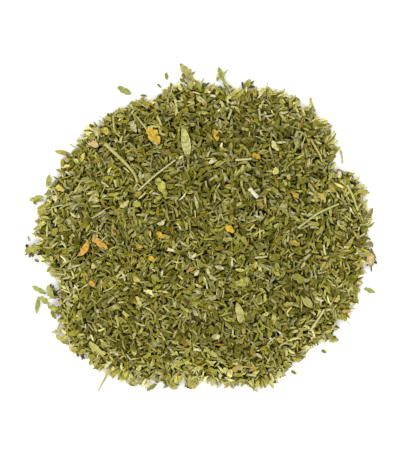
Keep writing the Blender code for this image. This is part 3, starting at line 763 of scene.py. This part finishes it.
def small_piece_form(length, width, edge):
    """A small stem bit or leaf of this size."""
    if edge == "stem":
        bow = rng.uniform(-0.05, 0.05) * length
        t = np.linspace(-0.5, 0.5, 8)
        path = np.stack([t * length, bow * (1 - 4 * t * t), np.zeros(8)], 1)
        return tube_form(path, width / 2 * np.linspace(1.05, 0.8, 8), 8, 0.06)
    bend = [math.radians(rng.uniform(*limits)) for limits in ((10, 35), (20, 70), (-10, 50), (-20, 20))]
    points, leaf = blade_grid(edge, 9, 5, length, width * 1.15, bend, ripple=RIPPLE)
    points = points - points.reshape(-1, 3).mean(0)
    form = closed_blade(points, leaf, FLAKE_THICKNESS)
    form.update(samples=even_samples(points, 0.8 * GRID_CELL), stem=False)
    return form


def small_piece_list(ground):
    """Stem bits and small leaves laid where they show: (form, vertices in place, slot, its points)."""
    pieces = []
    for root, tip, width, slot, edge in SMALL_PIECES:
        length = math.dist(root, tip)
        heading = math.atan2(tip[1] - root[1], tip[0] - root[0])
        form = small_piece_form(length, width, edge)
        x, y = (root[0] + tip[0]) / 2, (root[1] + tip[1]) / 2
        axes, place, points = laid(ground, form, x, y, heading, np.ones(3), contact=0.92)
        ground.raise_to(points)
        pieces.append((form, placed(form, axes, place, np.ones(3), False), slot, points))
    return pieces


def small_pieces(pieces, leaf_surface, stem_surface):
    """The small stem bits and leaves, one object for each slot."""
    groups = {}
    for form, verts, slot, _ in pieces:
        groups.setdefault(slot, []).append((form, verts, False, *two_tints(SLOT_COLOURS[slot])))
    for slot, parts in sorted(groups.items()):
        surface = stem_surface if "stems" in slot else leaf_surface
        finished(mesh_from("small_" + slot, parts), surface)


def cover_places(points, stem):
    """Where flakes overlap a piece: anywhere round a leaf, but only at the ends of a stem."""
    middle = points[:, :2].mean(0)
    if stem:
        ends = points[[0, -1], :2]
        return ends + COVERED_END * (ends - middle) / np.linalg.norm(ends - middle, axis=1)[:, None]
    count = int(2 * np.linalg.norm(np.ptp(points[:, :2], axis=0)) / COVER_SPACING)
    places = points[rng.integers(len(points), size=count), :2] + rng.normal(0, COVER_SPREAD, (count, 2))
    away = places - middle
    return places + 0.0007 * away / np.linalg.norm(away, axis=1)[:, None]


def cover_list(forms, covered, ground):
    """Flakes that overlap the edges of the pieces on the heap here and there."""
    flakes = []
    for points, stem in covered:
        if surface_height(*points[:, :2].mean(0)) < 0.0015:
            continue
        for x, y in cover_places(points, stem):
            number = int(rng.integers(len(forms)))
            size = rng.uniform(0.55, 0.85, 3)
            over = bool(rng.integers(2))
            heading = rng.uniform(0, math.tau)
            rest = laid(ground, forms[number], x, y, heading, size, rng.normal(0, 0.15, 2), over)
            if rest:
                axes, place, laid_points = rest
                ground.raise_to(laid_points)
                flakes.append((number, axes, place, size, over, 1))
    return flakes


# Meshes


def mesh_from(name, parts):
    """One object of many placed forms: parts are (form, vertices in place, flipped, tint, under tint)."""
    grid = math.ceil(math.sqrt(len(parts)))
    verts, faces, uvs, leaves, tints = [], [], [], [], []
    start = 0
    for number, (form, placed, flipped, tint, under_tint) in enumerate(parts):
        own_faces, own_uv = form["faces"], form["uv"]
        if flipped:
            own_faces, own_uv = own_faces[:, ::-1], own_uv[:, ::-1]
        verts.append(placed)
        faces.append(own_faces + start)
        uvs.append((own_uv + (number % grid, number // grid)) / grid)
        leaves.append(form["leaf"])
        tints.append(np.where(form["upper"][:, None], tint, under_tint))
        start += len(placed)
    verts, faces, uvs = np.concatenate(verts), np.concatenate(faces), np.concatenate(uvs)
    leaves, tints = np.concatenate(leaves), np.concatenate(tints)
    mesh = bpy.data.meshes.new(name)
    mesh.vertices.add(len(verts))
    mesh.vertices.foreach_set("co", verts.astype(np.float32).ravel())
    mesh.loops.add(faces.size)
    mesh.loops.foreach_set("vertex_index", faces.astype(np.int32).ravel())
    mesh.polygons.add(len(faces))
    mesh.polygons.foreach_set("loop_start", np.arange(0, faces.size, 4, dtype=np.int32))
    mesh.update(calc_edges=True)
    layer = mesh.uv_layers.new(name="OFBake")
    layer.uv.foreach_set("vector", uvs.astype(np.float32).ravel())
    leaf = mesh.attributes.new("leaf", "FLOAT_VECTOR", "POINT")
    leaf.data.foreach_set("vector", leaves.astype(np.float32).ravel())
    colour = mesh.attributes.new("tint", "FLOAT_COLOR", "POINT")
    rgba = np.concatenate([tints, np.ones((len(tints), 1))], 1)
    colour.data.foreach_set("color", rgba.astype(np.float32).ravel())
    mesh.shade_smooth()
    mesh.set_sharp_from_angle(angle=math.radians(50))
    obj = bpy.data.objects.new(name, mesh)
    bpy.context.scene.collection.objects.link(obj)
    return obj


def finished(obj, surface, replaced=()):
    """A piece gets its material and its place in the object."""
    obj.data.materials.append(surface)
    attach(obj, "root")
    if replaced:
        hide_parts(*replaced)
    return obj


def paler(tint):
    """The lighter a leaf's tint is, the more blue there is in it."""
    return tint + np.array((0, 0, PALER)) * max(0, tint[0] - PALE_FROM)


def two_tints(colours):
    """A piece's own tints for its upper side and its underside."""
    change = varied((1, 1, 1), OWN_TINT_SPREAD)
    return [np.array(colour) * change for colour in colours]


def varied(tint, spread=TINT_SPREAD):
    """A tint with a little more or less light and yellow in it."""
    bright = math.exp(rng.normal(0, spread))
    warm = max(-0.02, rng.normal(0, 0.035))
    return np.array(tint) * bright * (1 + warm, 1 - 0.3 * warm, 1 - warm)


# Materials


class Nodes:
    """Short names for making a material's nodes."""

    def __init__(self, name):
        self.material = bpy.data.materials.new(name)
        self.material.use_nodes = True
        self.tree = self.material.node_tree
        self.shader = self.tree.nodes["Principled BSDF"]

    def add(self, kind, links=(), **settings):
        node = self.tree.nodes.new(kind)
        for key, value in settings.items():
            setattr(node, key, value)
        for socket, source in links:
            if isinstance(source, (int, float, tuple)):
                node.inputs[socket].default_value = source
            else:
                self.tree.links.new(source, node.inputs[socket])
        return node

    def maths(self, operation, *values):
        return self.add("ShaderNodeMath", tuple(enumerate(values)), operation=operation).outputs[0]

    def attribute(self, name):
        return self.add("ShaderNodeAttribute", attribute_name=name)

    def noise(self, place, scale, detail=2.0):
        links = (("Vector", place), ("Scale", scale), ("Detail", detail))
        return self.add("ShaderNodeTexNoise", links).outputs["Fac"]

    def ranged(self, value, low, high, to_low, to_high):
        links = ((0, value), (1, low), (2, high), (3, to_low), (4, to_high))
        return self.add("ShaderNodeMapRange", links, interpolation_type="SMOOTHSTEP").outputs[0]

    def times(self, colour, factor):
        return self.add("ShaderNodeVectorMath", ((0, colour), (1, factor)), operation="MULTIPLY").outputs[0]

    def blended(self, factor, first, second):
        node = self.add("ShaderNodeMix", data_type="RGBA")
        for socket, source in ((0, factor), (6, first), (7, second)):
            if isinstance(source, (int, float, tuple)):
                node.inputs[socket].default_value = source
            else:
                self.tree.links.new(source, node.inputs[socket])
        return node.outputs[2]

    def bump(self, height, strength, distance):
        links = (("Height", height), ("Strength", strength), ("Distance", distance))
        return self.add("ShaderNodeBump", links).outputs[0]

    def to_shader(self, socket, source):
        if isinstance(source, (int, float, tuple)):
            self.shader.inputs[socket].default_value = source
        else:
            self.tree.links.new(source, self.shader.inputs[socket])


def leaf_material(name):
    """Dried leaf: a paler rib and side veins, lighter edges that are partly dried edge and partly painted
    highlight, blotches and dull, uneven, crinkled skin.
    """
    made = Nodes(name)
    place = made.add("ShaderNodeTexCoord").outputs["Object"]
    leaf = made.add("ShaderNodeSeparateXYZ", ((0, made.attribute("leaf").outputs["Vector"]),))
    along, across, share = leaf.outputs
    off_rib = made.maths("ABSOLUTE", across)
    rib = made.ranged(off_rib, 0.03, 0.11, 1.0, 0.0)
    slanted = made.maths("SUBTRACT", along, off_rib)
    wave = made.maths("SINE", made.maths("MULTIPLY", slanted, 11.0))
    vein = made.ranged(wave, 0.82, 1.0, 0.0, 1.0)
    lines = made.maths("MAXIMUM", rib, made.maths("MULTIPLY", vein, 0.5))
    fine = made.noise(place, 4200.0, 3.0)
    broad = made.noise(place, 1100.0)
    rim = made.ranged(made.maths("ABSOLUTE", share), 0.75, 1.0, 0.0, 1.0)
    tint = made.attribute("tint").outputs["Color"]
    shade = made.ranged(broad, 0.3, 0.7, 0.72, 1.25)
    shade = made.maths("MULTIPLY", shade, made.ranged(fine, 0.3, 0.7, 0.85, 1.15))
    # Partly real and partly painted highlight: the edges of each flake are blended towards a lighter, whiter tint
    pale_edge_and_highlight = made.times(made.times(tint, shade), (1.55, 1.42, 1.5))
    colour = made.blended(made.maths("MULTIPLY", rim, 0.6), made.times(tint, shade), pale_edge_and_highlight)
    colour = made.blended(made.maths("MULTIPLY", lines, 0.3), colour, made.times(tint, (1.5, 1.55, 2.0)))
    made.to_shader("Base Color", colour)
    made.to_shader("Roughness", made.ranged(broad, 0.3, 0.7, 0.55, 0.8))
    made.to_shader("Specular IOR Level", 0.06)
    height = made.maths("ADD", made.maths("MULTIPLY", lines, 0.6), fine)
    made.to_shader("Normal", made.bump(height, 0.5, 0.00005))
    return made.material


def stem_material(name):
    """Dried stem: long fine fibres and blotches."""
    made = Nodes(name)
    place = made.add("ShaderNodeTexCoord").outputs["Object"]
    leaf = made.add("ShaderNodeSeparateXYZ", ((0, made.attribute("leaf").outputs["Vector"]),))
    along, round_it, _ = leaf.outputs
    drawn = made.add("ShaderNodeCombineXYZ", (
        (0, made.maths("MULTIPLY", along, 0.6)),
        (1, made.maths("SINE", round_it)),
        (2, made.maths("COSINE", round_it)),
    )).outputs[0]
    fibre = made.noise(drawn, 5.0, 3.0)
    blotch = made.noise(place, 900.0)
    tint = made.attribute("tint").outputs["Color"]
    streaks = made.ranged(fibre, 0.3, 0.7, 0.78, 1.18)
    shade = made.maths("MULTIPLY", streaks, made.ranged(blotch, 0.3, 0.7, 0.88, 1.1))
    made.to_shader("Base Color", made.times(tint, shade))
    made.to_shader("Roughness", made.ranged(blotch, 0.3, 0.7, 0.5, 0.7))
    made.to_shader("Specular IOR Level", 0.1)
    made.to_shader("Normal", made.bump(fibre, 0.6, 0.00006))
    return made.material


def core_material(name):
    """Painted shade: a near-black, grainy colour for the heap's inside, standing for the deep shade between and
    below the flakes.
    """
    made = Nodes(name)
    place = made.add("ShaderNodeTexCoord").outputs["Object"]
    grains = made.noise(place, 1600.0, 4.0)
    # Painted shade: near-black colours, darker than any flake, for the gaps between flakes that fall into shade
    made.to_shader("Base Color", made.blended(made.ranged(grains, 0.35, 0.65, 0.0, 1.0),
                                              (0.010, 0.008, 0.001, 1), (0.035, 0.031, 0.005, 1)))
    made.to_shader("Roughness", made.ranged(grains, 0.3, 0.7, 0.85, 0.95))
    made.to_shader("Normal", made.bump(grains, 1.0, 0.0003))
    return made.material


def floor_material(name):
    made = Nodes(name)
    place = made.add("ShaderNodeTexCoord").outputs["Object"]
    grain = made.noise(place, 60.0, 3.0)
    made.to_shader("Base Color", made.blended(grain, (0.9, 0.9, 0.9, 1), (0.93, 0.93, 0.93, 1)))
    made.to_shader("Roughness", 0.9)
    return made.material


def core(ground, surface):
    """The inside of the heap, a lumpy body below the flakes."""
    rings, sides = 40, 120
    angle = np.linspace(0, math.tau, sides, endpoint=False)
    share = np.linspace(0, 1, rings + 1)[1:] ** 0.8
    reach = edge_radius(angle) * (1 - 0.035)
    x = np.concatenate([[0], (share[:, None] * reach * np.cos(angle)).ravel()])
    y = np.concatenate([[0], (share[:, None] * reach * np.sin(angle)).ravel()])
    cells = ground.cells(np.stack([x, y], 1))
    z = np.maximum(ground.core[cells[:, 0], cells[:, 1]] - 0.0001, 0.0001)
    z[-sides:] = 0.0001
    top = np.stack([x, y, z], 1)
    bottom = np.stack([x[-sides:], y[-sides:], np.zeros(sides)], 1)
    verts = np.concatenate([top, bottom])
    faces = [(0, 1 + s, 1 + (s + 1) % sides) for s in range(sides)]
    for ring in range(rings - 1):
        a, b = 1 + ring * sides, 1 + (ring + 1) * sides
        faces += [(a + s, b + s, b + (s + 1) % sides, a + (s + 1) % sides) for s in range(sides)]
    a, b = len(top) - sides, len(top)
    faces += [(a + s, b + s, b + (s + 1) % sides, a + (s + 1) % sides) for s in range(sides)]
    faces.append(tuple(range(len(verts) - 1, len(top) - 1, -1)))
    mesh = bpy.data.meshes.new("heap_core")
    mesh.from_pydata([tuple(v) for v in verts], [], faces)
    mesh.shade_smooth()
    obj = bpy.data.objects.new("heap_core", mesh)
    bpy.context.scene.collection.objects.link(obj)
    return finished(obj, surface, ("green_flake_heap",))


def placed(form, axes, place, size, over):
    """A form's vertices where it lies."""
    verts = form["verts"] * size
    if over:
        verts = verts * (1, 1, -1)
    return verts @ axes.T + place


def heap_pieces(forms, flakes, leaf_surface, stem_surface):
    """The laid flakes, grouped by colour into pieces."""
    shares = np.cumsum([share for _, _, share, _ in LEAF_TINTS])
    groups = {}
    for number, axes, place, size, over, shade in flakes:
        form = forms[number]
        verts = placed(form, axes, place, size, over)
        if form["stem"]:
            straw = rng.uniform() < 0.4
            slot = "straw_stems" if straw else "green_stems"
            tint = under = varied(STEM_BIT_TINTS[slot]) * shade
        else:
            upper, lower, _, slot = LEAF_TINTS[int(np.searchsorted(shares, rng.uniform() * shares[-1]))]
            # Painted light: flakes near the heap's edge get lighter tints, which paler() then whitens further
            inside = edge_radius(math.atan2(place[1], place[0])) - math.hypot(place[0], place[1])
            change = varied((1, 1, 1)) * (1 + PAINTED_EDGE_LIGHT * min(1, max(0, 1 - inside / PAINTED_EDGE_LIGHT_WIDTH)))
            tint, under = paler(np.array(upper) * change * shade), paler(np.array(lower) * change * shade)
        groups.setdefault(slot, []).append((form, verts, over, tint, under))
    for slot, parts in sorted(groups.items()):
        pieces = math.ceil(len(parts) / FLAKES_IN_A_PIECE)
        size = math.ceil(len(parts) / pieces)
        for number in range(pieces):
            obj = mesh_from(f"heap_{slot}_{number + 1:02d}", parts[number * size:(number + 1) * size])
            surface = stem_surface if "stems" in slot else leaf_surface
            finished(obj, surface, ("green_flake_heap",))


def stage():
    """A plain white surface, soft light from all round and the camera straight above."""
    bpy.ops.mesh.primitive_plane_add(size=6)
    floor = bpy.context.object
    floor.name = "floor"
    floor.data.materials.append(floor_material("white_surface"))
    world = bpy.data.worlds.new("white_room")
    world.use_nodes = True
    world.node_tree.nodes["Background"].inputs["Color"].default_value = (1, 1, 1, 1)
    world.node_tree.nodes["Background"].inputs["Strength"].default_value = 1.0
    bpy.context.scene.world = world
    for name, place, size, power in (
        ("softbox_left", (-0.55, 0.30, 0.5), 0.35, 2.3),
        ("softbox_right", (0.55, 0.35, 0.5), 0.35, 2.1),
        ("softbox_front", (0.25, -0.6, 0.5), 0.35, 1.9),
        ("softbox_corner", (-0.4, -0.5, 0.5), 0.35, 1.9),
    ):
        light = bpy.data.lights.new(name, "AREA")
        light.size = size
        light.energy = power
        lamp = bpy.data.objects.new(name, light)
        lamp.location = place
        lamp.rotation_euler = (Vector((0, 0, 0)) - Vector(place)).to_track_quat("-Z", "Y").to_euler()
        bpy.context.scene.collection.objects.link(lamp)
    camera = bpy.data.cameras.new("camera")
    camera.sensor_width = SENSOR
    camera.lens = SENSOR * (CAMERA_HEIGHT - FIELD_HEIGHT) / FIELD_LONG_SIDE
    camera.clip_start, camera.clip_end = 0.01, 10
    eye = bpy.data.objects.new("camera", camera)
    eye.location = (*FIELD_CENTRE, CAMERA_HEIGHT)
    bpy.context.scene.collection.objects.link(eye)
    bpy.context.scene.camera = eye
    bpy.context.scene.view_settings.view_transform = "Standard"


def main():
    stage()
    leaf_surface = leaf_material("dried_leaf")
    stem_surface = stem_material("dried_stem")
    ground = Ground()
    forms, weights = [], []
    for _, count, share, *ranges in FLAKE_KINDS:
        forms += [leaf_form(*ranges) for _ in range(count)]
        weights += [share / count] * count
    forms += [stem_bit_form() for _ in range(STEM_BIT_FORMS)]
    weights += [STEM_BIT_SHARE / STEM_BIT_FORMS] * STEM_BIT_FORMS
    shares = np.cumsum(weights) / sum(weights)
    core(ground, core_material("painted_gap_shade"))
    details = node_details(ground)
    flakes = flake_list(forms, shares, ground)
    print("flakes laid:", len(flakes))
    for _, _, made in details:
        for _, _, top in made:
            ground.raise_to(top)
    ground.ceiling[:] = np.inf
    pieces = small_piece_list(ground)
    flakes += fringe_list(forms, ground)
    covered = [(top, "stem" in node) for node, _, made in details for _, _, top in made]
    covered += [(points, "stems" in slot) for _, _, slot, points in pieces]
    flakes += cover_list(forms, covered, ground)
    print("with the fringe and those over other pieces:", len(flakes))
    heap_pieces(forms, flakes, leaf_surface, stem_surface)
    detail_pieces(details, leaf_surface, stem_surface)
    small_pieces(pieces, leaf_surface, stem_surface)


main()
